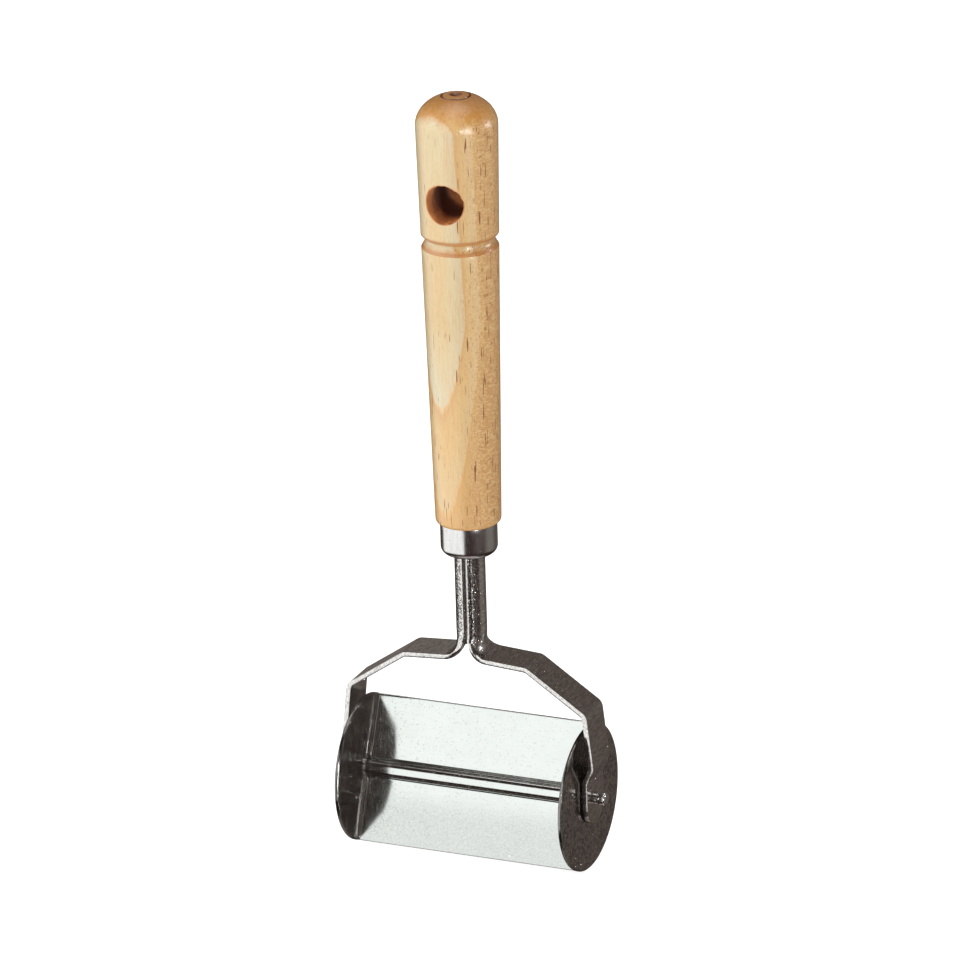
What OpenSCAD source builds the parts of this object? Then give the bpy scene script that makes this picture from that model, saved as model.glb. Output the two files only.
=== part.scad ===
// Hand-held roller cutter for rolled-out pasta dough: a turned wooden handle, a bent steel fork and a
// roller of two sharp-rimmed discs joined by a two-winged blade. It stands with the disc rims on z = 0,
// the axle lies along X and the handle rises along +Z.

/* [Handle] */
// Length of the wood above the ferrule
handle_len = 136; // [125:0.1:160]
// Radius just above the ferrule
handle_foot_r = 10.05; // [9.5:0.05:11]
// Radius under the dome
handle_head_r = 12.5; // [12:0.05:13.5]
// Height of the domed end
dome_h = 9.4; // [7:0.1:12]
// Radius of the hanging hole
hang_hole_r = 6; // [4:0.1:7]
// Distance from the top of the handle to the middle of the hanging hole
hang_hole_drop = 31.2; // [24:0.1:34]
// Distance from the top of the handle to the middle of the turned groove
groove_drop = 45.2; // [42:0.1:52]
// Width of the turned groove
groove_w = 4.4; // [3:0.1:6]
// Depth of the turned groove
groove_depth = 1.2; // [0.5:0.1:1.5]

/* [Ferrule] */
// Height of the ferrule cup
ferrule_h = 10.2; // [8:0.1:14]
// Outer radius of the ferrule
ferrule_r = 8.75; // [8:0.05:9.5]
// Sheet thickness of the ferrule
ferrule_wall = 0.6; // [0.4:0.1:0.8]
// Radius of the drawn corner round its bottom
ferrule_corner_r = 2.5; // [1:0.1:3]

/* [Fork] */
// Width of the strip that each fork arm is bent from
arm_w = 13; // [11:0.1:14]
// Thickness of that strip
arm_t = 1.5; // [1:0.1:1.8]
// Outer radius of the split stem that the two strips form together
stem_r = 4.8; // [4.4:0.05:5]
// Clear gap between the two strips along the stem
seam_gap = 0.1; // [0.06:0.02:0.2]
// Height of the ferrule's bottom above the worktop
stem_top_z = 98.7; // [92:0.1:110]
// Length of the tang inside the handle, from the ferrule's bottom
tang_len = 45; // [25:1:55]
// Distance from the axle to the rounded end of each arm
arm_end = 8; // [7:0.1:9]
// Gap between each disc and the arm beside it
arm_gap = 0.5; // [0.4:0.1:0.6]
// Height of the saddle, where each strip would meet the stem without its bend
saddle_z = 66.1; // [64:0.1:67]
// Distance from the stem's axis to the end of the saddle
saddle_x = 20.2; // [18:0.1:22]
// How far the saddle falls towards its ends
saddle_drop = 1.3; // [0.5:0.1:3]
// Distance from the stem's axis to each shoulder
shoulder_x = 39.1; // [38:0.1:40]
// Height of the shoulders
shoulder_z = 52; // [50:0.1:54]
// Distance from the stem's axis to the widest place of each arm
elbow_x = 41; // [40:0.1:42]
// Height of that place above the axle
elbow_rise = 12; // [11:0.1:13]
// Height above the axle where the arm is beside the disc
heel_rise = 7.2; // [7:0.1:7.6]
// Radius of the bend between stem and saddle, at the middle of the strip
stem_bend_r = 6.5; // [5:0.1:7]
// Radius of the bend at the end of the saddle
saddle_bend_r = 3; // [2:0.1:4]
// Radius of the bend at the shoulder
shoulder_bend_r = 2.6; // [2:0.1:3]
// Radius of the two bends that bring the arm in beside the disc
jog_bend_r = 1.8; // [1.5:0.1:2]

/* [Roller] */
// Radius of the two cutting discs
disc_r = 23; // [21:0.1:26]
// Thickness of each disc
disc_t = 1; // [0.8:0.1:1.2]
// Distance between the outer faces of the discs
roller_len = 75; // [74:0.1:75.4]
// Height of the ground bevel on each disc rim
rim_bevel = 0.5; // [0.2:0.1:0.7]
// Thickness of each of the two blade sheets
blade_t = 0.5; // [0.4:0.05:0.6]
// Outer radius of the tube-like rib along the middle of the blade
rib_r = 2.95; // [2.8:0.05:3.1]
// Gap between the ends of the blade wings and the discs
blade_end_gap = 0.5; // [0.3:0.1:1]
// Angle of the blade from upright, its top edge leaning to the back
blade_tilt = 24; // [0:0.5:45]

/* [Axle] */
// Radius of the axle
axle_r = 1.95; // [1.85:0.05:1.95]
// Radius of the upset tips
axle_tip_r = 2.2; // [2.1:0.05:2.4]
// Distance between the ends of the axle
axle_len = 86.4; // [86:0.1:90]
// Length of each upset tip
axle_tip_len = 2.4; // [1.5:0.1:2.8]

/* [Hidden] */
$fn = 96;
eps = 0.01;

// Radial play between the turning roller and the fixed axle, and round the fixed pieces.
running_fit = 0.03;
seat_fit = 0.05;

// How far the edges of the blade stay inside the rims of the discs.
wing_setback = 0.1;

// Broken edge of each axle tip, and the length over which the shaft widens to it.
tip_round = 0.5;
tip_flare = 0.4;

axle_z = disc_r;
handle_foot_z = stem_top_z + ferrule_h;
handle_top_z = handle_foot_z + handle_len;
hang_hole_z = handle_top_z - hang_hole_drop;
groove_z = handle_top_z - groove_drop;
dome_flat_r = 2.6;
foot_round_r = 1.2;

// Marks of the lathe on the top of the handle: the centre's cone and a ring cut round it.
centre_r = 1.8;
centre_depth = 2;
mark_r = 4.25;
mark_w = 0.7;
mark_depth = 0.7;

inner_r = ferrule_r - ferrule_wall;
inner_corner_r = ferrule_corner_r - ferrule_wall;
tenon_r = inner_r - seat_fit;

// The cross pin sits a little above the middle of the ferrule and ends inside the tenon.
pin_r = 1;
pin_z = stem_top_z + 0.55 * ferrule_h;
pin_len = 2 * tenon_r - 0.4;

// The right arm's middle surface: its distance from the seam, and beside the disc.
strip_x = (seam_gap + arm_t) / 2;
arm_mid_x = roller_len / 2 + arm_gap + arm_t / 2;
arm_round_z = axle_z - arm_end + arm_w / 2;

// The half-round stem starts just above the first bend.
stem_turn = 90 - atan2(saddle_drop, saddle_x - strip_x);
channel_foot_z = saddle_z + stem_bend_r * tan(stem_turn / 2) + 0.02;
stem_len = stem_top_z + tang_len - channel_foot_z;

// Corners of the middle surface as [x, z, bend radius], from the stem to the rounded end.
arm_path = [[strip_x, channel_foot_z + 1, 0],
            [strip_x, saddle_z, stem_bend_r],
            [saddle_x, saddle_z - saddle_drop, saddle_bend_r],
            [shoulder_x, shoulder_z, shoulder_bend_r],
            [elbow_x, axle_z + elbow_rise, jog_bend_r],
            [arm_mid_x, axle_z + heel_rise, jog_bend_r],
            [arm_mid_x, arm_round_z, 0]];

steel = "silver";

// Points on an arc round a centre, from one angle to another.
function arc(centre, r, from, to, steps) =
    [for (i = [0 : steps]) let (a = from + (to - from) * i / steps) centre + r * [cos(a), sin(a)]];

// Radius of the plain taper of the handle at height z above its foot.
function taper_r(z) = handle_foot_r + (handle_head_r - handle_foot_r) * z / (handle_len - dome_h);

// Half outline of the domed end: part of an ellipse that ends in the small flat where the lathe held it.
function dome_outline(steps) =
    let (last = acos(dome_flat_r / handle_head_r), rise = dome_h / sin(last))
    [for (i = [0 : steps]) let (a = last * i / steps)
        [handle_head_r * cos(a), handle_len - dome_h + rise * sin(a)]];

// A cove cut into the taper, between the two heights where it meets the surface.
function groove_outline(mid, steps) =
    [for (i = [0 : steps]) let (u = 2 * i / steps - 1, z = mid + u * groove_w / 2)
        [taper_r(z) - groove_depth * (1 - u * u), z]];

module handle_outline() {
    polygon(concat([[0, 0]],
                   arc([handle_foot_r - foot_round_r, foot_round_r], foot_round_r, -90, 0, 6),
                   groove_outline(groove_z - handle_foot_z, 10),
                   dome_outline(18),
                   [[0, handle_len]]));
}

// Lathe marks on the top: a small cone from the centre point and a shallow ring round it.
module lathe_marks() {
    translate([0, 0, handle_top_z - centre_depth])
        cylinder(h = centre_depth + eps, r1 = 0.3, r2 = centre_r);
    translate([0, 0, handle_top_z - mark_depth])
        difference() {
            cylinder(h = 2, r = mark_r + mark_w / 2);
            translate([0, 0, -1])
                cylinder(h = 4, r = mark_r - mark_w / 2);
        }
}

module handle() {
    color("burlywood")
        difference() {
            union() {
                translate([0, 0, handle_foot_z])
                    rotate_extrude()
                        handle_outline();
                // Tenon that the ferrule is pushed over.
                translate([0, 0, stem_top_z + ferrule_wall + seat_fit])
                    rotate_extrude()
                        polygon(concat([[0, 0]],
                                       arc([tenon_r - inner_corner_r, inner_corner_r],
                                           inner_corner_r, -90, 0, 8),
                                       [[tenon_r, ferrule_h], [0, ferrule_h]]));
            }
            translate([0, handle_head_r + 1, hang_hole_z])
                rotate([90, 0, 0])
                    cylinder(h = 2 * handle_head_r + 2, r = hang_hole_r);
            translate([0, 0, stem_top_z])
                cylinder(h = tang_len + 2, r = stem_r + seat_fit);
            cross_pin(pin_r + seat_fit, 2 * ferrule_r);
            lathe_marks();
        }
}

module ferrule() {
    hole_r = stem_r + seat_fit;
    color(steel)
        translate([0, 0, stem_top_z])
            rotate_extrude()
                polygon(concat([[hole_r, 0]],
                               arc([ferrule_r - ferrule_corner_r, ferrule_corner_r],
                                   ferrule_corner_r, -90, 0, 8),
                               [[ferrule_r, ferrule_h], [inner_r, ferrule_h]],
                               arc([inner_r - inner_corner_r, ferrule_wall + inner_corner_r],
                                   inner_corner_r, 0, -90, 8),
                               [[hole_r, ferrule_wall]]));
}

// Pin along X through the tenon and both halves of the tang.
module cross_pin(r, len) {
    translate([-len / 2, 0, pin_z])
        rotate([0, 90, 0])
            cylinder(h = len, r = r);
}

module tang_pin() {
    color(steel)
        cross_pin(pin_r, pin_len);
}

// Direction of the path from one corner to the next, and its change at a corner.
function heading(i) = atan2(arm_path[i + 1][1] - arm_path[i][1], arm_path[i + 1][0] - arm_path[i][0]);
function turn(i) = heading(i) - heading(i - 1);
function corner(i) = [arm_path[i][0], arm_path[i][1]];

// One edge of the strip, offset to the left of its path: a true radius at each corner.
function strip_edge(offset, steps) = [
    corner(0) + offset * [-sin(heading(0)), cos(heading(0))],
    for (i = [1 : len(arm_path) - 2])
        let (side = sign(turn(i)),
             r = arm_path[i][2],
             mid = (heading(i) + heading(i - 1)) / 2 + side * 90,
             centre = corner(i) + r / cos(turn(i) / 2) * [cos(mid), sin(mid)])
        each arc(centre, r - side * offset, heading(i - 1) - side * 90, heading(i) - side * 90, steps),
    corner(len(arm_path) - 1) + offset * [1, 0]];

// The strip in the XZ plane, bent at each corner of its path.
module bent_strip() {
    steps = 7;
    edge = strip_edge(-arm_t / 2, steps);
    far_edge = strip_edge(arm_t / 2, steps);
    translate([0, arm_w / 2, 0])
        rotate([90, 0, 0])
            linear_extrude(arm_w)
                polygon(concat(edge, [for (i = [len(far_edge) - 1 : -1 : 0]) far_edge[i]]));
}

// Half of the split stem, on the +X side of the seam.
module half_stem() {
    translate([0, 0, channel_foot_z])
        difference() {
            cylinder(h = stem_len, r = stem_r);
            translate([0, 0, -1])
                cylinder(h = stem_len + 2, r = stem_r - arm_t);
            translate([seam_gap / 2 - 2 * stem_r, -2 * stem_r, -1])
                cube([2 * stem_r, 4 * stem_r, stem_len + 2]);
        }
}

// The round end of the strip, below the axle.
module arm_end_disc() {
    translate([arm_mid_x - arm_t / 2, 0, arm_round_z])
        rotate([0, 90, 0])
            cylinder(h = arm_t, r = arm_w / 2);
}

module fork_arm() {
    difference() {
        union() {
            bent_strip();
            arm_end_disc();
            half_stem();
        }
        translate([arm_mid_x - arm_t, 0, axle_z])
            rotate([0, 90, 0])
                cylinder(h = 2 * arm_t, r = axle_r + seat_fit);
        cross_pin(pin_r + seat_fit, 2 * ferrule_r);
    }
}

module fork_arm_left() {
    color(steel)
        mirror([1, 0, 0])
            fork_arm();
}

module fork_arm_right() {
    color(steel)
        fork_arm();
}

module axle() {
    half = axle_len / 2;
    shaft_end = half - axle_tip_len;
    color(steel)
        translate([0, 0, axle_z])
            rotate([0, 90, 0])
                rotate_extrude()
                    polygon([[0, -half],
                             [axle_tip_r - tip_round, -half],
                             [axle_tip_r, tip_round - half],
                             [axle_tip_r, -shaft_end - tip_flare],
                             [axle_r, -shaft_end],
                             [axle_r, shaft_end],
                             [axle_tip_r, shaft_end + tip_flare],
                             [axle_tip_r, half - tip_round],
                             [axle_tip_r - tip_round, half],
                             [0, half]]);
}

// Everything on the roller is drawn along X with the blade upright, then tilted to its resting angle.
module on_roller() {
    translate([0, 0, axle_z])
        rotate([-blade_tilt, 0, 0])
            children();
}

module core_tube() {
    color(steel)
        on_roller()
            rotate([0, 90, 0])
                difference() {
                    cylinder(h = roller_len, r = rib_r - blade_t, center = true);
                    cylinder(h = roller_len + 1, r = axle_r + running_fit, center = true);
                }
}

// A disc with its outer face on x = roller_len / 2 and its rim ground to a blunt edge on the inside.
module disc() {
    on_roller()
        translate([roller_len / 2 - disc_t, 0, 0])
            rotate([0, 90, 0])
                difference() {
                    union() {
                        cylinder(h = rim_bevel, r1 = disc_r - rim_bevel / 2, r2 = disc_r);
                        translate([0, 0, rim_bevel])
                            cylinder(h = disc_t - rim_bevel, r = disc_r);
                    }
                    translate([0, 0, -1])
                        cylinder(h = disc_t + 2, r = rib_r - blade_t + eps);
                }
}

module disc_left() {
    color(steel)
        mirror([1, 0, 0])
            disc();
}

module disc_right() {
    color(steel)
        disc();
}

// One pressed sheet: two flat wings that lie on the middle plane and half a tube between them.
module blade_sheet() {
    half_len = roller_len / 2 - disc_t - blade_end_gap;
    wing_reach = disc_r - wing_setback;
    on_roller()
        difference() {
            union() {
                translate([-half_len, eps, -wing_reach])
                    cube([2 * half_len, blade_t, 2 * wing_reach]);
                intersection() {
                    rotate([0, 90, 0])
                        cylinder(h = 2 * half_len, r = rib_r, center = true);
                    translate([-half_len, eps, -rib_r])
                        cube([2 * half_len, 2 * rib_r, 2 * rib_r]);
                }
            }
            rotate([0, 90, 0])
                cylinder(h = 2 * half_len + 2, r = rib_r - blade_t + eps, center = true);
        }
}

module blade_back() {
    color(steel)
        blade_sheet();
}

module blade_front() {
    color(steel)
        translate([0, 0, 2 * axle_z])
            rotate([180, 0, 0])
                blade_sheet();
}

handle();
ferrule();
fork_arm_left();
fork_arm_right();
tang_pin();
axle();
core_tube();
disc_left();
disc_right();
blade_front();
blade_back();
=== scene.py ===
from math import acos, asin, atan2, cos, degrees, hypot, pi, radians, sin, sqrt

import bmesh
import bpy
from mathutils import Matrix, Vector, noise


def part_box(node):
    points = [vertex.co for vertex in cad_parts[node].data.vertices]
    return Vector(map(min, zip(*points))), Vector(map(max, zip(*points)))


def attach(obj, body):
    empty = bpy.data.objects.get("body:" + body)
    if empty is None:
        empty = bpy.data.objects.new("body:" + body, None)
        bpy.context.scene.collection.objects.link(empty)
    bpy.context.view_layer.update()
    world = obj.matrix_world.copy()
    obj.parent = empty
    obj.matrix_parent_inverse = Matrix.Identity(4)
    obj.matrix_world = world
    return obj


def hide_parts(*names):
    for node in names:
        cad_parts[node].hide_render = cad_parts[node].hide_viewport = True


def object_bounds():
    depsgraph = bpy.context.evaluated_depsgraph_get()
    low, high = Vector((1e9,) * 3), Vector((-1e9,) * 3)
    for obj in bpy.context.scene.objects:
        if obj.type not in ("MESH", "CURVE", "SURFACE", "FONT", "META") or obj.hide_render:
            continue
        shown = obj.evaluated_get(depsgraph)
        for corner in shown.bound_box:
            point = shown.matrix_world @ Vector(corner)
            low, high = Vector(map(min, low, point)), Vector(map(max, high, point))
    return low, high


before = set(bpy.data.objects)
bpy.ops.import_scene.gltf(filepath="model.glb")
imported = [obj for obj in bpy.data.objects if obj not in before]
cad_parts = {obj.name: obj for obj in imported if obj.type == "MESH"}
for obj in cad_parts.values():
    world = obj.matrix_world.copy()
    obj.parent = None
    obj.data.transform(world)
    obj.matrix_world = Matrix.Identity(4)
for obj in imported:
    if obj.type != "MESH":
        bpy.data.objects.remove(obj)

cad_lo, cad_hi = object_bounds()
scene = bpy.context.scene
scene.view_settings.view_transform = "Standard"

# Meshes are drawn in millimetres and scaled to metres when they become objects.
MM = 0.001


def box_mm(node):
    lo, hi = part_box(node)
    return lo / MM, hi / MM


# ---------------------------------------------------------------- camera

VIEW_AZIMUTH = 23.75
VIEW_ELEVATION = 20.8
VIEW_ROLL = -1.7
VIEW_DISTANCE = 2.6
VIEW_LENS = 320.2
AIM_OFFSET = Vector((0.0048, 0, -0.0009))


def add_camera():
    azimuth, elevation, roll = (radians(a) for a in (VIEW_AZIMUTH, VIEW_ELEVATION, VIEW_ROLL))
    right = Vector((cos(azimuth), sin(azimuth), 0))
    back = Vector((sin(azimuth) * cos(elevation), -cos(azimuth) * cos(elevation), sin(elevation)))
    up = back.cross(right)
    turned_right = right * cos(roll) + up * sin(roll)
    turned_up = up * cos(roll) - right * sin(roll)
    place = (cad_lo + cad_hi) / 2 + AIM_OFFSET + back * VIEW_DISTANCE
    data = bpy.data.cameras.new("camera")
    data.lens = VIEW_LENS
    data.sensor_width = 36
    data.clip_start = 0.1
    data.clip_end = 100
    camera = bpy.data.objects.new("camera", data)
    scene.collection.objects.link(camera)
    turn = Matrix((turned_right, turned_up, back)).transposed().to_4x4()
    camera.matrix_world = Matrix.Translation(place) @ turn
    scene.camera = camera


add_camera()

# ---------------------------------------------------------------- mesh helpers


def arc(centre, radius, start, end, steps):
    """Points on an arc in a plane, from one angle to another, in degrees."""
    angles = [radians(start + (end - start) * i / steps) for i in range(steps + 1)]
    return [(centre[0] + radius * cos(a), centre[1] + radius * sin(a)) for a in angles]


def smooth_step(low, high, value):
    share = min(1.0, max(0.0, (value - low) / (high - low)))
    return share * share * (3 - 2 * share)


def join_rings(bm, ring, next_ring):
    """Quads between two closed rows of vertices; a row of one vertex is a pole."""
    count = max(len(ring), len(next_ring))
    for i in range(count):
        j = (i + 1) % count
        corners = [ring[i % len(ring)], ring[j % len(ring)],
                   next_ring[j % len(next_ring)], next_ring[i % len(next_ring)]]
        bm.faces.new(list(dict.fromkeys(corners)))


def join_rows(bm, rows):
    for row, next_row in zip(rows, rows[1:]):
        join_rings(bm, row, next_row)


def lathe_rows(bm, profile, segments, axis="Z"):
    """A surface turned round an axis from (radius, height) points; a zero radius closes it in a pole."""
    pole_r = 1e-6
    rows = []
    for radius, height in profile:
        count = 1 if radius < pole_r else segments
        row = []
        for i in range(count):
            angle = 2 * pi * i / segments
            side, front = radius * sin(angle), -radius * cos(angle)
            place = (side, front, height) if axis == "Z" else (height, side, front)
            row.append(bm.verts.new(place))
        rows.append(row)
    join_rows(bm, rows)
    return rows


def close_lathe(bm, rows):
    """Joins the last row of a lathed ring to its first."""
    join_rings(bm, rows[-1], rows[0])


def punch(bm, loops, flat, place, radius, lip, steps, chip=None):
    """A round hole between two loops of vertices that surround it on opposite faces.

    flat(vertex) gives a vertex's two coordinates about the hole's middle, place(side, u, v, depth) the
    point on the near (0) or far (1) face, lip rounds the rims and chip(angle, side) makes them uneven.
    """
    lip_steps, wall_steps = 4, 8
    ends = []
    for side, loop in enumerate(loops):
        start = [flat(v) for v in loop]
        angles = [atan2(v, u) for u, v in start]
        rim = [radius + (chip(a, side) if chip else 0) for a in angles]
        rows = [loop]
        for share in (k / steps for k in range(1, steps + 1)):
            row = []
            for (u, v), a, r in zip(start, angles, rim):
                wide = r + lip
                point = (u + (wide * cos(a) - u) * share, v + (wide * sin(a) - v) * share)
                row.append(bm.verts.new(place(side, point[0], point[1], 0)))
            rows.append(row)
        for turn in (radians(90 * k / lip_steps) for k in range(1, lip_steps + 1)):
            row = []
            for a, r in zip(angles, rim):
                reach = r + lip - lip * sin(turn)
                row.append(bm.verts.new(place(side, reach * cos(a), reach * sin(a), lip * (1 - cos(turn)))))
            rows.append(row)
        join_rows(bm, rows)
        ends.append(rows[-1])
    wall = [[bm.verts.new(a.co.lerp(b.co, k / wall_steps)) for a, b in zip(*ends)]
            for k in range(1, wall_steps)]
    join_rows(bm, [ends[0]] + wall + [ends[1]])


def block_loop(rows, row_range, column_range):
    """Vertices round a block of a grid of rows, and the faces and vertices inside it."""
    top, bottom = row_range
    left, right = column_range
    size = len(rows[top])
    across = [c % size for c in range(left, right + 1)]
    loop = [rows[top][c] for c in across]
    loop += [rows[r][right % size] for r in range(top + 1, bottom)]
    loop += [rows[bottom][c] for c in reversed(across)]
    loop += [rows[r][left % size] for r in range(bottom - 1, top, -1)]
    inside = {rows[r][c] for r in range(top, bottom + 1) for c in across}
    faces = {f for v in inside for f in v.link_faces if all(w in inside for w in f.verts)}
    return loop, faces, inside - set(loop)


def open_blocks(bm, rows, row_range, near_columns, far_columns):
    """Removes two facing blocks of a grid and returns the loops round them, in step with each other."""
    near_loop, near_faces, near_spare = block_loop(rows, row_range, near_columns)
    far_loop, far_faces, far_spare = block_loop(rows, row_range, far_columns)
    # The far block runs the other way round, so its loop is turned to pass the same places.
    wide = near_columns[1] - near_columns[0] + 1
    down = row_range[1] - row_range[0] - 1
    top, right = far_loop[:wide], far_loop[wide:wide + down]
    bottom, left = far_loop[wide + down:2 * wide + down], far_loop[2 * wide + down:]
    far_loop = top[::-1] + left[::-1] + bottom[::-1] + right[::-1]
    bmesh.ops.delete(bm, geom=list(near_faces | far_faces), context="FACES_ONLY")
    bmesh.ops.delete(bm, geom=list(near_spare | far_spare), context="VERTS")
    return near_loop, far_loop


def add_piece(bm, name, body, nodes, paint, sharp=32):
    """Turns a mesh drawn in millimetres into a piece of the object."""
    bmesh.ops.remove_doubles(bm, verts=bm.verts, dist=1e-5)
    bmesh.ops.recalc_face_normals(bm, faces=bm.faces)
    for face in bm.faces:
        face.smooth = True
    for edge in bm.edges:
        edge.smooth = len(edge.link_faces) == 2 and edge.calc_face_angle() < radians(sharp)
    bmesh.ops.scale(bm, vec=(MM, MM, MM), verts=bm.verts)
    mesh = bpy.data.meshes.new(name)
    bm.to_mesh(mesh)
    bm.free()
    piece = bpy.data.objects.new(name, mesh)
    scene.collection.objects.link(piece)
    mesh.materials.append(paint)
    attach(piece, body)
    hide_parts(*nodes)
    return piece


# ---------------------------------------------------------------- material helpers


class Nodes:
    """A tree of shader nodes under construction: each call adds one node and returns its output."""

    def __init__(self, tree):
        self.tree = tree

    def node(self, kind, inputs=(), output=0, **settings):
        made = self.tree.nodes.new(kind)
        for key, value in settings.items():
            setattr(made, key, value)
        for socket, value in dict(inputs).items():
            self.feed(made.inputs[socket], value)
        return made.outputs[output]

    def feed(self, socket, value):
        if isinstance(value, bpy.types.NodeSocket):
            self.tree.links.new(value, socket)
        else:
            socket.default_value = value

    def along(self, vector, direction):
        return self.node("ShaderNodeVectorMath", {0: vector, 1: direction}, output="Value",
                         operation="DOT_PRODUCT")

    def stretch(self, vector, scale):
        return self.node("ShaderNodeVectorMath", {0: vector, 1: scale}, operation="MULTIPLY")

    def combine(self, x, y, z):
        return self.node("ShaderNodeCombineXYZ", {0: x, 1: y, 2: z})

    def split(self, vector):
        made = self.tree.nodes.new("ShaderNodeSeparateXYZ")
        self.feed(made.inputs[0], vector)
        return list(made.outputs)

    def math(self, operation, a, b=0.0, c=0.0):
        return self.node("ShaderNodeMath", {0: a, 1: b, 2: c}, operation=operation)

    def length(self, a, b):
        return self.math("SQRT", self.math("ADD", self.math("POWER", a, 2.0), self.math("POWER", b, 2.0)))

    def noise(self, vector, scale=1.0, detail=2.0, roughness=0.5):
        return self.node("ShaderNodeTexNoise", {"Vector": vector, "Scale": scale, "Detail": detail,
                                                "Roughness": roughness})

    def remap(self, value, from_low, from_high, to_low=0.0, to_high=1.0):
        """A smooth step between two values."""
        return self.node("ShaderNodeMapRange",
                         {0: value, 1: from_low, 2: from_high, 3: to_low, 4: to_high},
                         interpolation_type="SMOOTHSTEP")

    def near(self, value, middle, close, far, amount):
        """The amount where value is close to the middle one, and nothing where it is far from it."""
        distance = self.math("ABSOLUTE", self.math("SUBTRACT", value, middle))
        return self.remap(distance, close, far, amount, 0.0)

    def mix(self, factor, a, b):
        return self.node("ShaderNodeMix", {0: factor, 6: a, 7: b}, output=2, data_type="RGBA")

    def ramp(self, factor, stops):
        made = self.tree.nodes.new("ShaderNodeValToRGB")
        elements = made.color_ramp.elements
        while len(elements) < len(stops):
            elements.new(0.5)
        for element, (position, colour) in zip(elements, stops):
            element.position = position
            element.color = colour
        self.feed(made.inputs[0], factor)
        return made.outputs[0]


class Paint(Nodes):
    """A material under construction, with the shader that its nodes feed."""

    def __init__(self, name):
        self.material = bpy.data.materials.new(name)
        self.material.use_nodes = True
        super().__init__(self.material.node_tree)
        self.shader = self.tree.nodes["Principled BSDF"]

    def set(self, **values):
        for key, value in values.items():
            self.feed(self.shader.inputs[key.replace("_", " ")], value)

    def place(self):
        """Position on the object, in millimetres."""
        coordinates = self.node("ShaderNodeTexCoord", output="Object")
        return self.node("ShaderNodeVectorMath", {0: coordinates, 1: (1 / MM,) * 3}, operation="MULTIPLY")

    def bump(self, height, distance, strength=1.0, normal=None):
        inputs = {"Height": height, "Strength": strength, "Distance": distance}
        if normal:
            inputs["Normal"] = normal
        return self.node("ShaderNodeBump", inputs)


def srgb(red, green, blue):
    """A colour picked on screen (0 to 255), as the linear light that the shaders use."""
    def linear(value):
        value /= 255
        return value / 12.92 if value <= 0.04045 else ((value + 0.055) / 1.055) ** 2.4
    return (linear(red), linear(green), linear(blue), 1.0)


# ---------------------------------------------------------------- beech

# The growth rings face the front left of the handle; grain and rays follow them.
RING_AZIMUTH = radians(-20)
RING_OUT = (sin(RING_AZIMUTH), -cos(RING_AZIMUTH), 0)
RING_ALONG = (cos(RING_AZIMUTH), sin(RING_AZIMUTH), 0)
# Where the pale rings start and how wide each is, in millimetres.
FIRST_RING = 49.4
RING_WIDTH = 3.75


def ring_distance(p, place, out, across, height):
    """Distance from the pith in millimetres: the rings lean one way low down and slightly back higher up."""
    pith = 40.0
    low_knee, low_lean = 171.0, 0.088
    high_knee, high_lean = 186.0, -0.036
    depth = p.length(p.math("ADD", out, pith), across)
    lean = p.math("SMOOTH_MIN", p.math("MULTIPLY", p.math("SUBTRACT", height, low_knee), low_lean),
                  p.math("MULTIPLY", p.math("SUBTRACT", height, high_knee), high_lean), 0.6)
    wobble = p.noise(p.stretch(place, (0.09, 0.09, 0.022)), detail=2.5)
    fine_wobble = p.noise(p.stretch(place, (0.9, 0.9, 0.06)), detail=3.0)
    ring = p.math("ADD", p.math("ADD", depth, lean), p.math("MULTIPLY", wobble, 0.6))
    return p.math("ADD", ring, p.math("MULTIPLY", fine_wobble, 0.5))


def ring_tone(p, ring):
    """Each ring darkens outwards to the next, and the rings towards the pith are browner."""
    share = p.math("FRACT", p.math("DIVIDE", p.math("SUBTRACT", ring, FIRST_RING), RING_WIDTH))
    tone = p.ramp(share, [(0.0, srgb(192, 184, 156)), (0.35, srgb(192, 179, 143)),
                          (0.75, srgb(191, 167, 120)), (0.93, srgb(187, 146, 94)),
                          (1.0, srgb(205, 178, 134))])
    tone = p.mix(p.remap(ring, FIRST_RING - 1.5, FIRST_RING + 0.3, 0.5, 0.0), tone, srgb(203, 158, 88))
    return p.mix(p.remap(ring, FIRST_RING - 6.5, FIRST_RING - 3.0, 0.72, 0.0), tone, srgb(184, 134, 74))


def add_rays_and_low_shade(p, tone, out, across, height):
    """Thin plates along the radius: a few dashes on the front, and dark and light flakes on the side. Low
    down, one side also gets painted shade.
    """
    on_side = p.remap(out, 4.0, 9.0, 1.0, 0.25)
    # Painted shade: low down, towards the foot, the side turned away from the rings' front is darker.
    painted_shade_low = p.remap(height, 115.0, 165.0, 0.4, 0.0)
    tone = p.mix(p.math("MULTIPLY", p.remap(out, -8.0, 4.0, 1.0, 0.0), painted_shade_low), tone, srgb(164, 114, 60))
    layers = (((0.42, 3.4, 0.62), 1.5, 0.4, (0.6, 0.7, 0.6), srgb(150, 98, 50)),
              ((0.5, 2.8, 1.9), 1.0, 0.5, (0.5, 0.6, 0.36), srgb(221, 192, 138)))
    for size, detail, roughness, (low, high, amount), colour in layers:
        plates = p.combine(*(p.math("MULTIPLY", v, s) for v, s in zip((out, across, height), size)))
        flakes = p.remap(p.noise(plates, detail=detail, roughness=roughness), low, high, 0.0, amount)
        tone = p.mix(p.math("MULTIPLY", flakes, on_side), tone, colour)
    return tone


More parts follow.
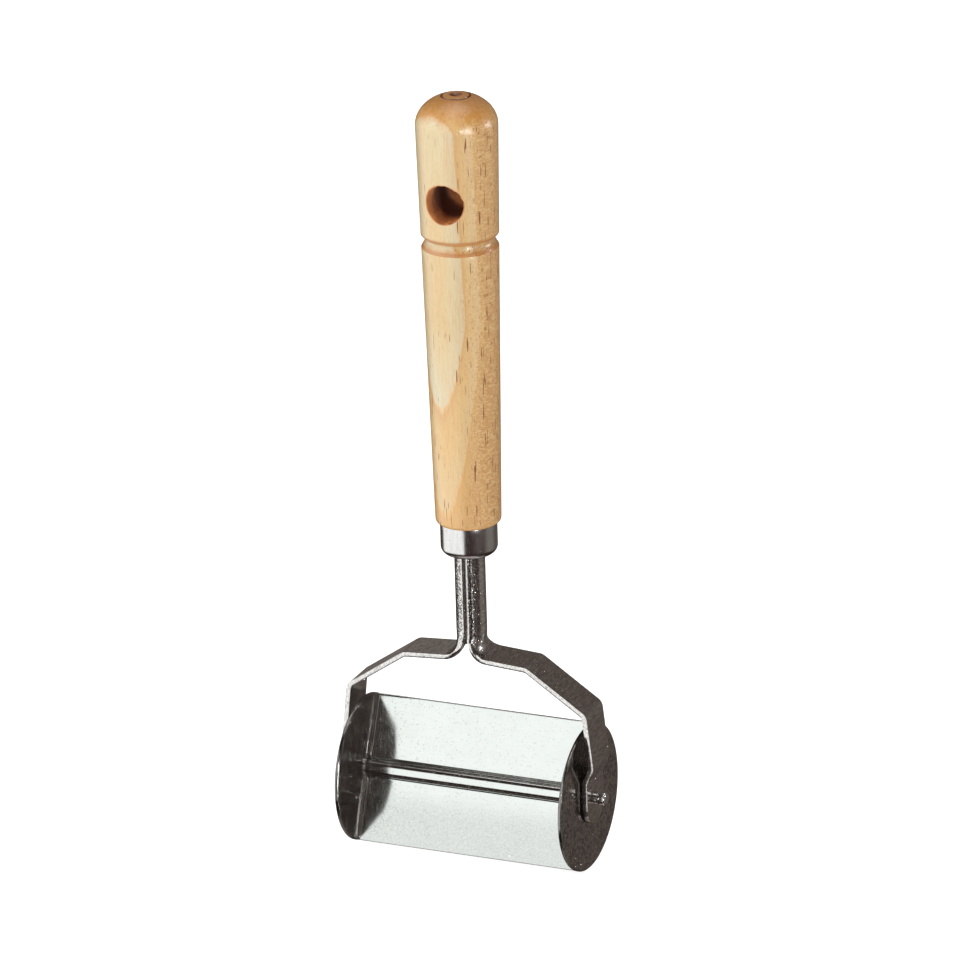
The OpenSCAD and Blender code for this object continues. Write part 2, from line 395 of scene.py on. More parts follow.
def add_end_grain_and_dome_shade(p, tone, place, height, patch):
    """End grain soaks up more lacquer: the dome and the groove are more orange. The dome's top also gets
    painted shade.
    """
    facing = p.split(p.node("ShaderNodeNewGeometry", output="Normal"))[2]
    end_grain = p.remap(p.math("ADD", p.math("ABSOLUTE", facing), p.math("MULTIPLY", patch, 0.8)), 0.58, 1.15)
    blotch = p.noise(p.stretch(place, (0.5, 0.5, 0.35)), detail=3.0, roughness=0.6)
    soaked = p.remap(blotch, 0.34, 0.62, 0.55, 0.95)
    tone = p.mix(p.math("MULTIPLY", end_grain, soaked), tone, srgb(183, 127, 60))
    fleck = p.remap(p.noise(p.stretch(place, (1.3, 1.3, 0.8)), detail=2.0), 0.58, 0.7, 0.0, 0.5)
    tone = p.mix(p.math("MULTIPLY", end_grain, fleck), tone, srgb(138, 84, 40))
    # Painted shade: the dome darkens towards its top.
    tone = p.mix(p.remap(height, TOP_Z - 5.0, TOP_Z - 0.5, 0.0, 0.45), tone, srgb(132, 88, 54))
    from_groove = p.math("ABSOLUTE", p.math("SUBTRACT", height, GROOVE_Z))
    return p.mix(p.near(from_groove, 1.85, 0.2, 0.75, 0.7), tone, srgb(168, 104, 50))


def add_burns_and_hole_shade(p, tone, x, y, z, patch):
    """Scorched wood: the wall of the drilled hole, the ring on the dome and the cone of the lathe centre;
    deep inside the hole the wall also gets painted shade.
    """
    from_hole = p.length(x, p.math("SUBTRACT", z, HOLE_Z))
    scorch_and_shade = p.remap(from_hole, HOLE_R + 0.16, HOLE_R + 0.5, 0.95, 0.0)
    burnt = p.mix(p.remap(patch, 0.35, 0.6), srgb(150, 86, 44), srgb(186, 120, 68))
    # Painted shade: halfway through the hole the wall is painted deep red-brown; the scorch colours show only
    # near its rims.
    tone = p.mix(scorch_and_shade, tone, p.mix(p.remap(p.math("ABSOLUTE", y), 3.0, 7.5), srgb(78, 30, 18), burnt))
    from_axis = p.length(x, y)
    ring_mark = p.near(from_axis, MARK_R, 0.2, 0.5, 0.85)
    centre_mark = p.remap(from_axis, 1.6, 2.3, 0.85, 0.0)
    on_top = p.remap(z, TOP_Z - 3, TOP_Z - 2)
    marks = p.math("MULTIPLY", p.math("MAXIMUM", ring_mark, centre_mark), on_top)
    return p.mix(marks, tone, srgb(92, 46, 26)), scorch_and_shade


def beech():
    """Turned beech under a clear lacquer."""
    p = Paint("beech")
    place = p.place()
    x, y, z = p.split(place)
    out, across = p.along(place, RING_OUT), p.along(place, RING_ALONG)
    ring = ring_distance(p, place, out, across, z)
    tone = ring_tone(p, ring)
    # Broad drifts of colour, then long fibres.
    drift = p.noise(p.stretch(place, (0.16, 0.16, 0.03)), detail=2.0)
    tone = p.mix(p.remap(drift, 0.35, 0.7, 0.0, 0.35), tone, srgb(198, 158, 106))
    fibre = p.noise(p.stretch(place, (3.2, 3.2, 0.16)), detail=4.0, roughness=0.6)
    tone = p.mix(p.remap(fibre, 0.42, 0.7, 0.0, 0.4), tone, srgb(182, 132, 74))
    tone = add_rays_and_low_shade(p, tone, out, across, z)
    # Pores: dark brown dashes, fewer of them in the pale rings.
    pores = p.math("ADD", p.noise(p.stretch(place, (2.0, 2.0, 0.15)), detail=0.5),
                   p.remap(ring, FIRST_RING - 1.0, FIRST_RING + 0.3, 0.0, -0.055))
    pore_mask = p.remap(pores, 0.695, 0.725)
    tone = p.mix(p.math("MULTIPLY", pore_mask, 0.88), tone, srgb(116, 60, 18))
    patch = p.noise(p.stretch(place, (0.22, 0.22, 0.1)), detail=3.0)
    tone = add_end_grain_and_dome_shade(p, tone, place, z, patch)
    tone, scorch_and_shade = add_burns_and_hole_shade(p, tone, x, y, z, patch)
    grain = p.math("ADD", p.math("MULTIPLY", fibre, 0.6), p.math("MULTIPLY", pore_mask, -1.2))
    p.set(Base_Color=tone,
          Roughness=p.math("MAXIMUM", p.remap(fibre, 0.3, 0.7, 0.42, 0.3), scorch_and_shade),
          Normal=p.bump(grain, 0.00006, 0.35))
    lacquer = p.noise(p.stretch(place, (1.6, 1.6, 1.1)), detail=2.0)
    p.set(Coat_Weight=p.remap(scorch_and_shade, 0.0, 0.9, 0.8, 0.0), Coat_Roughness=0.2, Coat_IOR=1.5,
          Coat_Normal=p.bump(lacquer, 0.0003, 0.7))
    return p.material


# ---------------------------------------------------------------- steel


def steel(name, tint, roughness, grain, grain_height, pits, mottle=0.0, sparks=0.0, marks=None, dirt_and_shade=None):
    """Stainless steel: grain is how fine it is along each axis, per millimetre; grain_height is in metres.

    pits and mottle are how strongly dark dots and fine patches show, sparks is the height of its bright
    specks in millimetres, marks(p, place) adds relief, and the darkening function says where it is darker:
    dirt on the fork's stem, painted shade on the discs' rims and on the lower wing.
    """
    p = Paint(name)
    place = p.place()
    lines = p.noise(p.stretch(place, grain), detail=4.0, roughness=0.65)
    dust = p.noise(place, scale=2.4, detail=1.0)
    cloud = p.noise(place, scale=0.11, detail=3.0, roughness=0.6)
    pit = p.remap(dust, 0.68, 0.76)
    colour = p.mix(p.remap(cloud, 0.3, 0.75), tint, [c * 0.97 for c in tint[:3]] + [1.0])
    colour = p.mix(p.math("MULTIPLY", pit, pits), colour, srgb(90, 80, 74))
    dark_share, patch_share = 0.3, 0.27
    dark = [c * dark_share for c in tint[:3]] + [1.0]
    speckle = p.noise(p.stretch(place, [g * patch_share for g in grain]), detail=3.0, roughness=0.75)
    colour = p.mix(p.remap(speckle, 0.38, 0.6, mottle, 0.0), colour, dark)
    # Darker places: dirt on the fork's stem, painted shade on the discs' rims and on the lower wing.
    if dirt_and_shade:
        colour = p.mix(dirt_and_shade(p, place), colour, dark)
    rough = p.math("ADD", p.remap(lines, 0.3, 0.7, roughness * 0.75, roughness * 1.25),
                   p.remap(cloud, 0.35, 0.7, -0.01, 0.02))
    relief = p.bump(pit, 0.00003, 0.8)
    if sparks:
        specks = p.remap(p.noise(place, scale=1.6, detail=1.0), 0.66, 0.76, 0.0, sparks)
        relief = p.bump(specks, MM, 1.0, relief)
    if marks:
        relief = p.bump(marks(p, place), MM, 1.0, relief)
    p.set(Base_Color=colour, Metallic=1.0, Roughness=rough,
          Normal=p.bump(lines, grain_height, 0.6, relief))
    return p.material


def stem_angle(p, place):
    """How far round the stem a point lies from its front or back, in degrees, and where the marks are."""
    x, y, z = p.split(place)
    angle = p.math("DEGREES", p.math("ARCTAN2", p.math("ABSOLUTE", x), p.math("ABSOLUTE", y)))
    return angle, p.remap(z, 69, 73)


def die_marks(p, place):
    """Height in millimetres of the forming marks along the stem: rough bands and a notched ridge."""
    angle, on_stem = stem_angle(p, place)
    band = p.math("MULTIPLY", p.remap(angle, 9, 14), p.remap(angle, 40, 48, 1.0, 0.0))
    rough = p.math("MULTIPLY", p.noise(place, scale=1.6, detail=1.0), p.math("MULTIPLY", band, 0.16))
    ridge = p.remap(p.math("ABSOLUTE", p.math("SUBTRACT", angle, 31)), 0, 5.5, 0.2, 0.0)
    notches = p.remap(p.noise(p.stretch(place, (0.4, 0.4, 2.2)), detail=1.0), 0.35, 0.65, 0.2, 1.2)
    return p.math("MULTIPLY", p.math("ADD", rough, p.math("MULTIPLY", ridge, notches)), on_stem)


def die_dirt(p, place):
    """Dark dirt in the low spots of those bands."""
    angle, on_stem = stem_angle(p, place)
    band = p.math("MULTIPLY", p.remap(angle, 10, 15), p.remap(angle, 50, 62, 1.0, 0.0))
    spots = p.remap(p.noise(place, scale=1.9, detail=1.0), 0.45, 0.54, 1.0, 0.0)
    return p.math("MULTIPLY", p.math("MULTIPLY", spots, band), on_stem)


def from_axle(p, place):
    """Distance from the axle's middle line, in millimetres."""
    _, y, z = p.split(place)
    return p.length(y, p.math("SUBTRACT", z, AXLE_Z))


def rim_painted_shade(p, place):
    """Painted shade: a disc's sheared rim is painted darker than its polished faces."""
    return p.remap(from_axle(p, place), DISC_R - 0.25, DISC_R - 0.12, 0.0, 0.95)


def lower_wing_painted_shade(p, place):
    """Painted shade: the lower wing is darker, in small patches."""
    z = p.split(place)[2]
    shade_patches = p.remap(p.noise(place, scale=2.0, detail=3.0, roughness=0.7), 0.35, 0.65, 0.17, 0.34)
    return p.math("MULTIPLY", shade_patches, p.remap(z, AXLE_Z - 12, AXLE_Z - 3, 1.0, 0.0))


# ---------------------------------------------------------------- dimensions

handle_lo, handle_hi = box_mm("handle")
ferrule_lo, ferrule_hi = box_mm("ferrule")
arm_lo, arm_hi = box_mm("fork_arm_right")
disc_lo, disc_hi = box_mm("disc_right")
axle_lo, axle_hi = box_mm("axle")

HEAD_R = handle_hi.x
FOOT_R = HEAD_R - 2.45
FOOT_Z = ferrule_hi.z
TOP_Z = handle_hi.z
DOME_H = 9.4
SHOULDER_Z = TOP_Z - DOME_H
HOLE_R = 6.0
HOLE_Z = TOP_Z - 31.2
GROOVE_Z = TOP_Z - 45.2
FERRULE_R = ferrule_hi.x
FERRULE_WALL = 0.6
FERRULE_CORNER = 2.5
STEM_R = 4.8
BORE_R = STEM_R + 0.05
BORE_TOP = arm_hi.z + 2
MARK_R = 4.3
AXLE_Z = (axle_lo.z + axle_hi.z) / 2
DISC_R = disc_hi.z - AXLE_Z

BEECH = beech()
BLADE_STEEL = steel("blade_steel", (0.60, 0.622, 0.606, 1.0), 0.1, (0.8, 6.0, 6.0), 0.000001, 0.0,
                    mottle=0.02, dirt_and_shade=lower_wing_painted_shade)
DISC_STEEL = steel("disc_steel", (0.60, 0.585, 0.57, 1.0), 0.14, (4.0, 4.0, 4.0), 0.00001, 0.3,
                   mottle=0.9, sparks=0.2, dirt_and_shade=rim_painted_shade)
FORK_STEEL = steel("fork_steel", (0.66, 0.64, 0.625, 1.0), 0.18, (5.0, 1.2, 5.0), 0.00001, 0.3,
                   mottle=0.4, sparks=0.08, marks=die_marks, dirt_and_shade=die_dirt)
FERRULE_STEEL = steel("ferrule_steel", (0.61, 0.605, 0.6, 1.0), 0.2, (5.0, 5.0, 0.6), 0.000008, 0.2,
                      mottle=0.1)
AXLE_STEEL = steel("axle_steel", (0.72, 0.71, 0.7, 1.0), 0.14, (5.0, 3.0, 3.0), 0.000006, 0.1, sparks=0.03)

# ---------------------------------------------------------------- handle


def taper_r(z):
    return FOOT_R + (HEAD_R - FOOT_R) * (z - FOOT_Z) / (SHOULDER_Z - FOOT_Z)


def spread(start, end, step):
    """Values from start to end, at most step apart, without the end."""
    count = max(1, round(abs(end - start) / step))
    return [start + (end - start) * i / count for i in range(count)]


def handle_profile():
    """Half outline from the blind bore, round the tenon and up the outside to the lathe centre's mark."""
    tenon_r = FERRULE_R - FERRULE_WALL - 0.05
    tenon_corner = FERRULE_CORNER - FERRULE_WALL
    tenon_z = handle_lo.z
    foot_round = 1.2
    points = [(0, BORE_TOP), (BORE_R * 0.5, BORE_TOP), (BORE_R, BORE_TOP), (BORE_R, tenon_z)]
    points += arc((tenon_r - tenon_corner, tenon_z + tenon_corner), tenon_corner, -90, 0, 6)
    points += [(tenon_r, FOOT_Z), (tenon_r + 0.5, FOOT_Z)]
    points += arc((FOOT_R - foot_round, FOOT_Z + foot_round), foot_round, -90, 0, 6)
    # Plain taper up to the turned groove.
    groove_low, groove_high = GROOVE_Z - 2.2, GROOVE_Z + 2.2
    points += [(taper_r(z), z) for z in spread(FOOT_Z + 2.5, groove_low - 0.5, 2.5)]
    low_r, high_r = taper_r(groove_low), taper_r(groove_high)
    # Lower lip, cove and rounded upper lip.
    low_lip, high_lip = 0.35, 0.6
    points += arc((low_r - low_lip, groove_low - low_lip), low_lip, 0, 70, 3)
    depth = 1.25
    cove = (0.15, 0.35, 0.55, 0.75, 0.92, 1.0)
    points += [(low_r - depth + depth * (1 - s) ** 2 * 0.9, groove_low + 0.1 + s * 2.7) for s in cove]
    points += [(high_r - depth + 0.12, groove_high - 1.25), (high_r - depth + 0.4, groove_high - 0.95)]
    points += arc((high_r - high_lip, groove_high - 0.2), high_lip, -80, 0, 5)
    points += [(taper_r(z), z) for z in spread(groove_high + 0.6, SHOULDER_Z, 0.85)]
    # Dome, with a dark ring cut near its top, and the cone of the lathe centre.
    flat_r = 2.6
    last = acos(flat_r / HEAD_R)
    rise = DOME_H / sin(last)
    dome_steps = 40
    dome = [(HEAD_R * cos(last * i / dome_steps), SHOULDER_Z + rise * sin(last * i / dome_steps))
            for i in range(dome_steps + 1)]
    half_ring, clear, lean = 0.3, 0.1, 0.08
    ring_in, ring_out = MARK_R - half_ring, MARK_R + half_ring
    inner, edge = (SHOULDER_Z + rise * sqrt(1 - (r / HEAD_R) ** 2) for r in (ring_in, ring_out))
    points += [point for point in dome if point[0] >= ring_out + clear]
    points += [(ring_out, edge), (ring_out - lean, edge - 0.35), ((ring_in + ring_out) / 2, edge - 0.45),
               (ring_in + lean, inner - 0.35), (ring_in, inner)]
    points += [point for point in dome if point[0] <= ring_in - clear]
    points += [(2.1, TOP_Z), (1.8, TOP_Z - 0.12), (1.2, TOP_Z - 0.9), (0.5, TOP_Z - 1.9), (0, TOP_Z - 2)]
    return points


def hole_chip(angle, side):
    """Small chips that the drill left round the rim."""
    ragged = noise.noise(Vector((3.1 * cos(angle), 3.1 * sin(angle), 5.0 + side)))
    fine = noise.noise(Vector((9 * cos(angle), 9 * sin(angle), 8.0 + side)))
    return 0.2 * ragged + 0.2 * fine


def handle():
    segments = 144
    half_turn = segments // 2
    half_wide_mm, half_high_mm = 9.0, 9.4
    bm = bmesh.new()
    profile = handle_profile()
    rows = lathe_rows(bm, profile, segments)
    inside = [i for i, (r, z) in enumerate(profile) if abs(z - HOLE_Z) < half_high_mm and r > FERRULE_R]
    half_wide = round(segments * asin(half_wide_mm / taper_r(HOLE_Z)) / (2 * pi))
    loops = open_blocks(bm, rows, (inside[0], inside[-1]), (-half_wide, half_wide),
                        (half_turn - half_wide, half_turn + half_wide))

    def flat(vertex):
        return vertex.co.x, vertex.co.z - HOLE_Z

    def on_surface(side, u, v, depth):
        radius = taper_r(HOLE_Z + v)
        y = sqrt(radius ** 2 - u ** 2) - depth
        return (u, y if side else -y, HOLE_Z + v)

    punch(bm, loops, flat, on_surface, HOLE_R, lip=0.3, steps=8, chip=hole_chip)
    return add_piece(bm, "handle_turned", "holder", ["handle"], BEECH)


# ---------------------------------------------------------------- ferrule


def ferrule():
    """A drawn cup with rolled edges at its mouth and round the hole for the stem."""
    inner_r = FERRULE_R - FERRULE_WALL
    inner_corner = FERRULE_CORNER - FERRULE_WALL
    edge = 0.2
    low, high = ferrule_lo.z, ferrule_hi.z
    profile = arc((BORE_R + edge, low + edge), edge, 180, 270, 3)
    profile += arc((FERRULE_R - FERRULE_CORNER, low + FERRULE_CORNER), FERRULE_CORNER, -90, 0, 14)
    profile += [(FERRULE_R, low + z) for z in (4.5, 6.5, 8.5)]
    profile += arc((FERRULE_R - edge, high - edge), edge, 0, 90, 3)
    profile += [(inner_r, high)]
    profile += arc((inner_r - inner_corner, low + FERRULE_WALL + inner_corner), inner_corner, 0, -90, 8)
    profile += [(BORE_R, low + FERRULE_WALL)]
    bm = bmesh.new()
    close_lathe(bm, lathe_rows(bm, profile, 128))
    return add_piece(bm, "ferrule_cup", "holder", ["ferrule"], FERRULE_STEEL)


# ---------------------------------------------------------------- fork

ARM_W = arm_hi.y - arm_lo.y
ARM_T = 1.5
SEAM = arm_lo.x
ARM_MID_X = 38.75
FLAT_N = SEAM + ARM_T / 2
END_Z = arm_lo.z + ARM_W / 2

# Corners of the strip's middle surface as (x, z, bend radius), from the top of the tang to the round end.
ARM_PATH = [(FLAT_N, arm_hi.z, 0),
            (FLAT_N, 66.1, 6.5),
            (20.2, 64.8, 3.0),
            (39.1, 52.0, 2.6),
            (41.0, AXLE_Z + 12, 1.8),
            (ARM_MID_X, AXLE_Z + 7.2, 1.8),
            (ARM_MID_X, END_Z, 0)]


def arm_stations():
    """(x, z, heading, way) along the strip's middle surface; way is the length travelled."""
    stations = []
    here = Vector(ARM_PATH[0][:2])
    way = 0.0

    def add(point, heading):
        nonlocal way
        if stations:
            way += hypot(point[0] - stations[-1][0], point[1] - stations[-1][1])
        stations.append((point[0], point[1], heading, way))

    for before, corner, after in zip(ARM_PATH, ARM_PATH[1:], ARM_PATH[2:]):
        into = Vector((corner[0] - before[0], corner[1] - before[1]))
        out = Vector((after[0] - corner[0], after[1] - corner[1]))
        start, end = atan2(into.y, into.x), atan2(out.y, out.x)
        turn = (end - start + pi) % (2 * pi) - pi
        radius = corner[2]
        tangent = radius * abs(sin(turn / 2) / cos(turn / 2))
        bend_start = Vector(corner[:2]) - into.normalized() * tangent
        length = (bend_start - here).length
        for share in spread(0, 1, 2.0 / length):
            add(here.lerp(bend_start, share), start)
        side = 1 if turn > 0 else -1
        centre = bend_start + Vector((-sin(start), cos(start))) * radius * side
        steps = max(4, round(abs(degrees(turn)) / 5))
        for i in range(steps):
            heading = start + turn * i / steps
            add(centre + Vector((sin(heading), -cos(heading))) * radius * side, heading)
        here = centre + Vector((sin(end), -cos(end))) * radius * side
    finish = Vector(ARM_PATH[-1][:2])
    for share in spread(0, 1, 1.0 / (finish - here).length):
        add(here.lerp(finish, share), -pi / 2)
    return stations


def bend_way(stations):
    """Where along the strip its first bend starts and ends."""
    turned = [way for _, _, heading, way in stations if heading > -pi / 2 + 0.01]
    first = max(way for _, _, heading, way in stations if way < turned[0])
    last = next(way for _, _, heading, way in stations if heading > radians(-5))
    return first, last


def strip_rings(stations):
    """(x, z, heading, flatness, half width) along the strip, down to its round end."""
    first, last = bend_way(stations)
    rings = [(x, z, heading, smooth_step(first - 2.0, last + 0.5, way), ARM_W / 2)
             for x, z, heading, way in stations]
    for a in (radians(angle) for angle in (0, 8, 16, 24, 32, 40, 48, 56, 63, 70, 76, 82, 87)):
        rings.append((ARM_MID_X, END_Z - ARM_W / 2 * sin(a), -pi / 2, 1.0, ARM_W / 2 * cos(a)))
    return rings


def strip_row(bm, side, ring, shares):
    """Vertices round the strip at one place, along its outer face and back along its inner one."""
    x, z, heading, flat, half_width = ring
    half_round, end_angle, edge_drop = 4.05, radians(88), 0.5
    straight = 1e-6
    normal = Vector((-sin(heading), cos(heading)))
    curve = (1 - flat) / half_round
    half = half_width + (half_round * end_angle - half_width) * (1 - flat)
    edge_turn = curve * half
    edge_n = SEAM + ARM_T / 2 * cos(edge_turn)
    row = []
    for face in (1, -1):
        for share in shares:
            s = half * share * face
            if curve > straight:
                y = sin(curve * s) / curve
                n = edge_n + (cos(curve * s) - cos(edge_turn)) / curve
            else:
                y, n = s, edge_n
            # Along the stem the outer edges are rolled in, which leaves a groove at the seam.
            rolled = edge_drop * (1 - flat) if face > 0 and abs(share) == 1 else 0
            y += (face * ARM_T / 2 - rolled) * sin(curve * s)
            n += (face * ARM_T / 2 - rolled) * cos(curve * s)
            shift = n - FLAT_N
            row.append(bm.verts.new((side * (x + normal.x * shift), y, z + normal.y * shift)))
    return row


def drill_arm(bm, side, rings, rows, across):
    """The hole for the axle."""
    reach, inset, hole_r = 4.6, 4, 2.0
    inside = [i for i, ring in enumerate(rings) if abs(ring[1] - AXLE_Z) < reach]
    near_columns = (inset, across - inset)
    far_columns = (across + 1 + inset, 2 * across + 1 - inset)
    loops = open_blocks(bm, rows, (inside[0], inside[-1]), near_columns, far_columns)

    def flat(vertex):
        return vertex.co.y, vertex.co.z - AXLE_Z

    def on_face(far, u, v, depth):
        offset = -ARM_T / 2 + depth if far else ARM_T / 2 - depth
        return (side * (ARM_MID_X + offset), u, AXLE_Z + v)

    punch(bm, loops, flat, on_face, hole_r, lip=0.12, steps=4)


def round_edges(bm, rows, across):
    """The strip's sheared edges, slightly rounded."""
    corners = (0, across, across + 1, 2 * across + 1)
    rims = [bm.edges.get((row[c], next_row[c])) for row, next_row in zip(rows, rows[1:]) for c in corners]
    end = rows[-1]
    rims += [bm.edges.get((vertex, after)) for vertex, after in zip(end, end[1:] + end[:1])]
    bmesh.ops.bevel(bm, geom=[e for e in rims if e], offset=0.14, segments=2, profile=0.5, affect="EDGES",
                    clamp_overlap=True)


def fork_arm(side):
    """One strip: half round along the stem, flattened through its first bend, with a round drilled end."""
    across = 18
    margin = 0.08
    shares = [-1, -1 + margin] + [(-1 + margin) * (1 - 2 * i / (across - 2)) for i in range(1, across - 2)]
    shares += [1 - margin, 1]
    rings = strip_rings(arm_stations())
    bm = bmesh.new()
    rows = [strip_row(bm, side, ring, shares) for ring in rings]
    join_rows(bm, rows)
    bm.faces.new(rows[0])
    bm.faces.new(rows[-1])
    drill_arm(bm, side, rings, rows, across)
    round_edges(bm, rows, across)
    name = "right" if side > 0 else "left"
    return add_piece(bm, "fork_strip_" + name, "holder", ["fork_arm_" + name], FORK_STEEL,
                     sharp=40)


# ---------------------------------------------------------------- axle


def axle():
    """The pin, with both tips upset so that it can't slide out."""
    half = axle_hi.x
    tip_r = (axle_hi.z - axle_lo.z) / 2
    shaft_r = 1.95
    tip_len = 2.4
    tip_round = 0.55
    outer = [(shaft_r, half - tip_len - 0.4)]
    outer += [(shaft_r + (tip_r - shaft_r) * smooth_step(0, 1, s), half - tip_len - 0.1 + s * 0.9)
              for s in (0.2, 0.4, 0.6, 0.8, 1.0)]
    outer += arc((tip_r - tip_round, half - 0.6), tip_round, 0, 68, 6)
    outer += [(1.1, half - 0.02), (0.6, half), (0, half)]
    middle = [(shaft_r, x) for x in spread(-half + tip_len + 3, half - tip_len - 3, 8.0)]
    profile = [(r, -x) for r, x in reversed(outer)] + middle + outer
    bm = bmesh.new()
    lathe_rows(bm, profile, 48, "X")
    # Hammer marks on the tips, which stay inside their full radius.
    dent_depth, dent_scale, shrink = 0.06, 1.3, 0.05
    for vertex in bm.verts:
        if abs(vertex.co.x) > half - tip_len:
            dent = dent_depth * noise.noise(vertex.co * dent_scale)
            vertex.co.y *= 1 + dent - shrink
            vertex.co.z *= 1 + dent - shrink
        vertex.co.z += AXLE_Z
    return add_piece(bm, "axle_pin", "holder", ["axle"], AXLE_STEEL)


# ---------------------------------------------------------------- roller

BLADE_TILT = radians(24)
ROLLER_TURN = Matrix.Translation((0, 0, AXLE_Z)) @ Matrix.Rotation(-BLADE_TILT, 4, "X")
RIB_R = 2.95
SHEET_T = 0.5
# Distance of a sheet's inner face from the middle plane, the bend beside the rib and the edges of the wings.
SHEET_GAP = 0.01
FILLET_R = 0.7
FILLET_TOP = RIB_R + 1.2
WING_REACH = DISC_R - 0.1


def disc(side):
    """A disc with a sharp ground rim and lightly broken edges at its bore."""
    inner, outer = disc_lo.x, disc_hi.x
    bore = RIB_R - SHEET_T + 0.01
    rim_bevel = 0.3
    broken = 0.08
    radii = (5, 9, 13, 17, 20, 22)
    profile = [(bore, inner + broken), (bore + broken, inner)]
    profile += [(r, inner) for r in radii]
    profile += [(DISC_R - rim_bevel / 2 - 0.1, inner), (DISC_R - rim_bevel / 2, inner + 0.06),
                (DISC_R - 0.04, inner + rim_bevel), (DISC_R, inner + rim_bevel + 0.1),
                (DISC_R, outer - 0.12), (DISC_R - 0.03, outer - 0.04), (DISC_R - 0.1, outer)]
    profile += [(r, outer) for r in reversed(radii)]
    profile += [(bore + broken, outer), (bore, outer - broken)]
    bm = bmesh.new()
    close_lathe(bm, lathe_rows(bm, profile, 192, "X"))
    if side < 0:
        bmesh.ops.scale(bm, vec=(-1, 1, 1), verts=bm.verts)
    bmesh.ops.transform(bm, matrix=ROLLER_TURN, verts=bm.verts)
    name = "right" if side > 0 else "left"
    return add_piece(bm, "disc_polished_" + name, "roller", ["disc_" + name], DISC_STEEL,
                     sharp=50)


def sheet_side(offset):
    """One face of a pressed sheet as (y, z), from its lower edge to its upper edge.

    offset is how far this face lies outside the sheet's inner face.
    """
    rib = RIB_R - SHEET_T + offset
    plane = SHEET_GAP + offset
    bend = FILLET_R + SHEET_T - offset
    fillet_y = SHEET_GAP + SHEET_T + FILLET_R
    fillet_z = sqrt((RIB_R + FILLET_R) ** 2 - fillet_y ** 2)
    lean = degrees(atan2(fillet_z, fillet_y))
    upper = [(rib * cos(radians(a)), rib * sin(radians(a))) for a in spread(0, lean, 2)]
    upper += arc((fillet_y, fillet_z), bend, lean - 180, -180, 10)
    upper += [(plane, z) for z in (5, 9, 13, 17, 20, 22)]
    upper += [(plane, WING_REACH - (0.3 if offset else 0.1))]
    lower = [(y, -z) for y, z in reversed(upper[1:])]
    return lower + upper


def sheet_outline():
    """Cross-section of a sheet, with the outer corners of its edges broken."""
    inner, outer = SHEET_GAP, SHEET_GAP + SHEET_T
    edge = [(outer - 0.06, WING_REACH - 0.14), (outer - 0.2, WING_REACH - 0.03), (outer - 0.3, WING_REACH),
            (inner + 0.08, WING_REACH)]
    return sheet_side(SHEET_T) + edge + sheet_side(0)[::-1] + [(y, -z) for y, z in reversed(edge)]


def blade_sheet(side):
    """A pressed sheet: two wings and a half-round rib with a small fillet on each flank."""
    half = box_mm("blade_front")[1].x
    lip_rise, lip_len = 0.22, 0.5
    middle = SHEET_T / 2 + SHEET_GAP
    end = [half - back for back in (0, 0.08, 0.16, 0.25, 0.34, 0.42, lip_len)]
    stations = [-x for x in end] + spread(-half + 1, half - 1, 6.0)[1:] + end[::-1]
    outline = sheet_outline()
    bm = bmesh.new()
    rows = []
    for x in stations:
        # The wings' ends curl out a little and are thinner at the very edge.
        thin = 0.08 if abs(x) > half - 0.01 else 0
        row = []
        for y, z in outline:
            if abs(z) > FILLET_TOP:
                y = middle + (y - middle) * (1 - 2 * thin / SHEET_T)
                y += lip_rise * smooth_step(half - lip_len, half, abs(x))
            row.append(bm.verts.new((x, y * side, z)))
        rows.append(row)
    join_rows(bm, rows)
    bm.faces.new(rows[0])
    bm.faces.new(rows[-1])
    bmesh.ops.transform(bm, matrix=ROLLER_TURN, verts=bm.verts)
    name = "back" if side > 0 else "front"
    return add_piece(bm, "blade_pressed_" + name, "roller", ["blade_" + name], BLADE_STEEL,
                     sharp=40)


# ---------------------------------------------------------------- studio


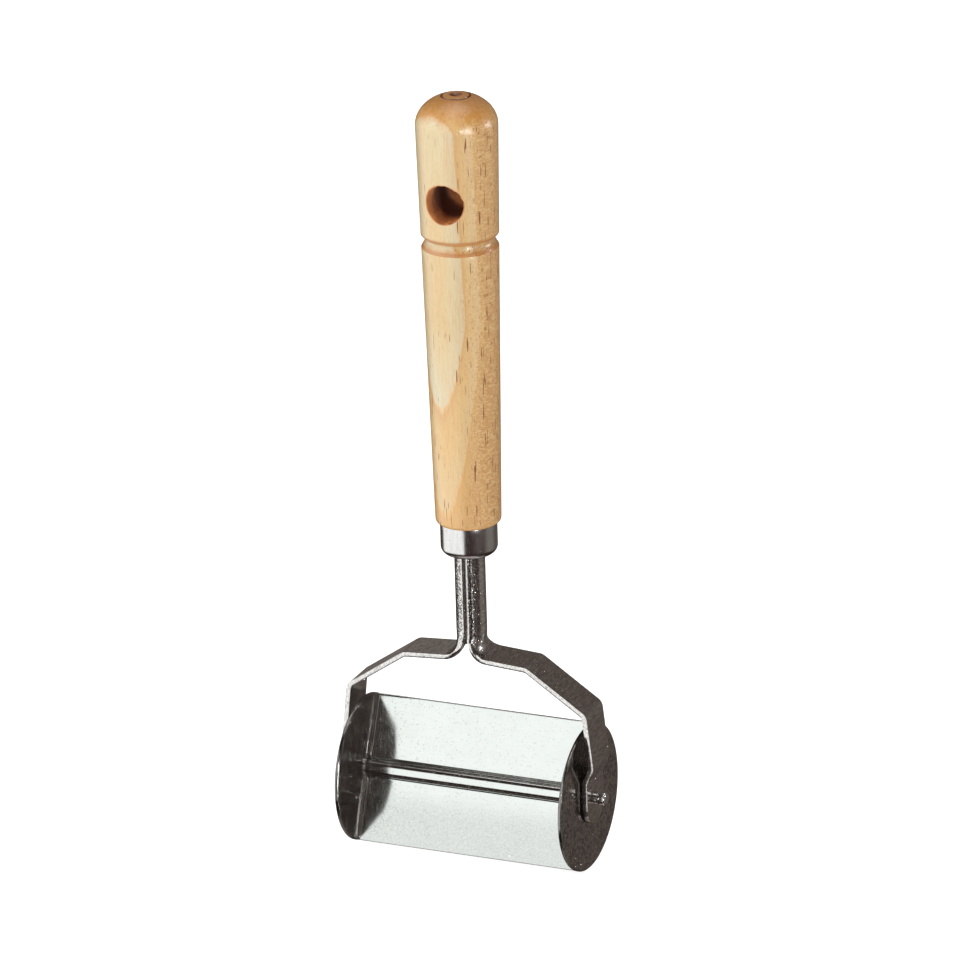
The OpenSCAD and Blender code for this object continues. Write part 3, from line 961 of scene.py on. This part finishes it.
def studio_world():
    """A white card to the left and in front, a dark room to the right and a grey wall behind."""
    world = bpy.data.worlds.new("studio")
    scene.world = world
    world.use_nodes = True
    n = Nodes(world.node_tree)
    x, y, z = n.split(n.node("ShaderNodeTexCoord", output="Generated"))
    azimuth = n.math("ARCTAN2", x, n.math("MULTIPLY", y, -1.0))
    turn = n.math("ADD", n.math("DIVIDE", azimuth, 2 * pi), 0.5)
    back_grey, side_grey = (0.16, 0.135, 0.122, 1.0), (0.124, 0.1, 0.088, 1.0)
    pale_grey, far_grey = (0.235, 0.208, 0.19, 1.0), (0.25, 0.227, 0.203, 1.0)
    dark, brown, dull_brown = (0.07, 0.05, 0.043, 1.0), (0.045, 0.026, 0.02, 1.0), (0.1, 0.075, 0.068, 1.0)
    white = (1.5, 1.52, 1.5, 1.0)
    stops = [(-180, back_grey), (-163, side_grey), (-158, side_grey), (-152, pale_grey), (-143, dark),
             (-104, dark), (-97, white), (-1, white), (5, brown), (45, brown), (62, dull_brown),
             (88, dull_brown), (100, far_grey), (132, far_grey), (148, side_grey), (162, side_grey),
             (180, back_grey)]
    lit = n.ramp(turn, [(angle / 360 + 0.5, colour) for angle, colour in stops])
    # The card ends above and below: steel that faces up or down reflects a dim ceiling or bench.
    zones = ((0.58, 0.64, (0.036, 0.023, 0.019, 1.0)), (0.908, 0.913, (1.9, 1.84, 1.8, 1.0)),
             (-0.5, -0.56, (0.04, 0.026, 0.022, 1.0)), (-0.86, -0.88, (0.6, 0.52, 0.5, 1.0)))
    for low, high, colour in zones:
        lit = n.mix(n.remap(z, low, high), lit, colour)
    # What the camera sees past the floor is plain and pale.
    seen = n.mix(n.node("ShaderNodeLightPath", output="Is Camera Ray"), lit, (1.0, 1.0, 1.0, 1.0))
    n.feed(n.tree.nodes["Background"].inputs[0], seen)


def add_light(name, azimuth, elevation, distance, size, power, glossy=False, diffuse=True):
    """A square soft box that faces the object's middle; glossy ones show in the steel and the lacquer."""
    a, e = radians(azimuth), radians(elevation)
    direction = Vector((sin(a) * cos(e), -cos(a) * cos(e), sin(e)))
    data = bpy.data.lights.new(name, "AREA")
    data.size = size
    data.energy = power
    light = bpy.data.objects.new(name, data)
    scene.collection.objects.link(light)
    light.location = (cad_lo + cad_hi) / 2 + direction * distance
    light.rotation_mode = "QUATERNION"
    light.rotation_quaternion = direction.to_track_quat("Z", "Y")
    light.visible_glossy = glossy
    light.visible_diffuse = diffuse
    light.visible_camera = False


def floor():
    size = 30.0
    mesh = bpy.data.meshes.new("floor")
    corners = [(-size, -size), (size, -size), (size, size), (-size, size)]
    mesh.from_pydata([(x, y, cad_lo.z) for x, y in corners], [], [(0, 1, 2, 3)])
    plane = bpy.data.objects.new("floor", mesh)
    scene.collection.objects.link(plane)
    paint = Paint("floor")
    paint.set(Base_Color=(0.5, 0.5, 0.5, 1.0), Roughness=0.9)
    paint.set(Emission_Color=(1.0, 1.0, 1.0, 1.0), Emission_Strength=0.85)
    mesh.materials.append(paint.material)
    plane.visible_glossy = False


studio_world()
add_light("soft_left", -50, 35, 1.6, 1.2, 8)
add_light("soft_top", 10, 65, 1.8, 1.0, 10)
add_light("soft_back", 170, 40, 1.8, 1.2, 10)
add_light("key", 52, 8, 2.0, 0.14, 12, glossy=True)
add_light("glint_right", 52, 4, 2.0, 0.2, 6, glossy=True, diffuse=False)
add_light("glint_back", 120, 8, 2.0, 0.1, 8, glossy=True, diffuse=False)
floor()

handle()
ferrule()
fork_arm(1)
fork_arm(-1)
axle()
disc(1)
disc(-1)
blade_sheet(1)
blade_sheet(-1)

# The two hidden pieces stay as they are in CAD and only get a material.
for node in ("core_tube", "tang_pin"):
    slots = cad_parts[node].data.materials
    slots.clear()
    slots.append(AXLE_STEEL)
